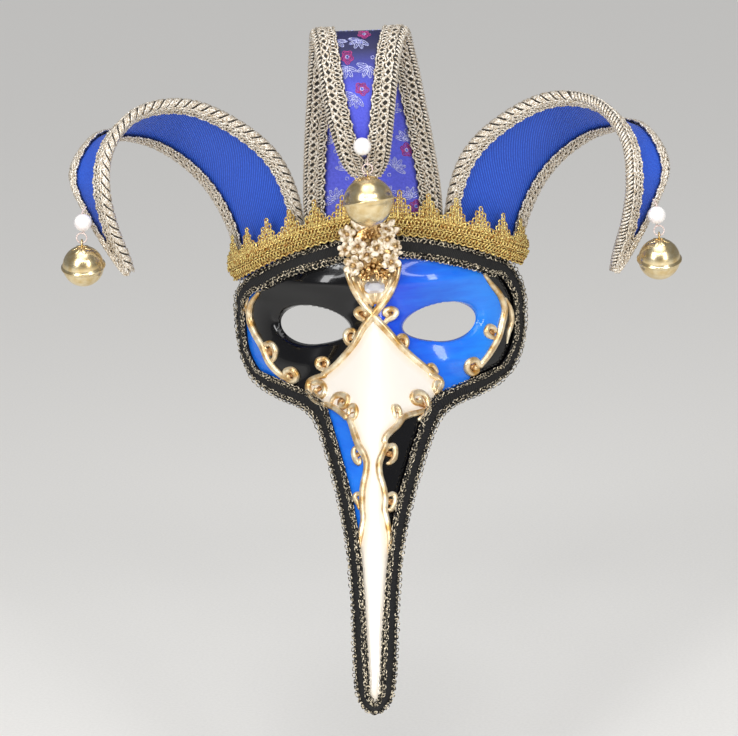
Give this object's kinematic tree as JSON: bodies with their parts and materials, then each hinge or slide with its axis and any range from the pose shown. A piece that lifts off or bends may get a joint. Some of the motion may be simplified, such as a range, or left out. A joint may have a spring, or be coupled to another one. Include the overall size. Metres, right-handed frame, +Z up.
{
  "type": "masquerade mask",
  "caption": "Carnival half mask with a long slanting beak, painted face, gilt scrolls, gold lace crown, arched ribbon horns and jingle bells that swing.",
  "frame": {"origin": "where the inside of the mask sits on the bridge of the wearer's nose", "axes": "+X to the viewer's right across the mask, +Y back towards the wearer, +Z up"},
  "size_m": [0.3474, 0.2038, 0.3585],
  "materials": {
    "enamel": "moulded shell painted in gloss black, blue and white",
    "galloon": "black woven galloon with gold picots",
    "lace": "gold metal-thread lace",
    "ribbon": "royal blue ribbed ribbon",
    "brocade": "blue violet brocade with silver leaves",
    "braid": "champagne metal-thread braid",
    "gilt": "gold painted relief",
    "bell": "polished gilt",
    "thread": "white thread",
    "pearl": "white pearl",
    "spray": "cream and gold cast spray",
    "crystal": "clear faceted crystal with a foil back"
  },
  "bodies": {
    "mask": {"mask_shell": "enamel", "edge_braid": "galloon", "crown_lace": "lace", "brow_ornament": "spray", "brow_jewel": "crystal", "scroll_nose": "gilt", "horn_centre": "brocade", "horn_braid_centre": "braid", "bead_centre": "pearl", "bell_thread_centre": "thread", "horn_right": "ribbon", "horn_braid_right": "braid", "bead_right": "pearl", "bell_thread_right": "thread", "scroll_temple_right": "gilt", "scroll_beak_right": "gilt", "horn_left": "ribbon", "horn_braid_left": "braid", "bead_left": "pearl", "bell_thread_left": "thread", "scroll_temple_left": "gilt", "scroll_beak_left": "gilt"},
    "bell_right": {"bell_right": "bell"},
    "bell_left": {"bell_left": "bell"},
    "bell_centre": {"bell_centre": "bell"}
  },
  "joints": [
    {"name": "bell_right_swing", "type": "hinge", "parent": "mask", "child": "bell_right", "pos_m": [0.16118, -0.0429, 0.05291], "axis": [1, 0, 0], "range_deg": [-45, 12]},
    {"name": "bell_left_swing", "type": "hinge", "parent": "mask", "child": "bell_left", "pos_m": [-0.16118, -0.04288, 0.0572], "axis": [1, 0, 0], "range_deg": [-45, 12]},
    {"name": "bell_centre_swing", "type": "hinge", "parent": "mask", "child": "bell_centre", "pos_m": [0.00044, -0.04042, 0.09133], "axis": [1, 0, 0], "range_deg": [-45, 12]}
  ]
}
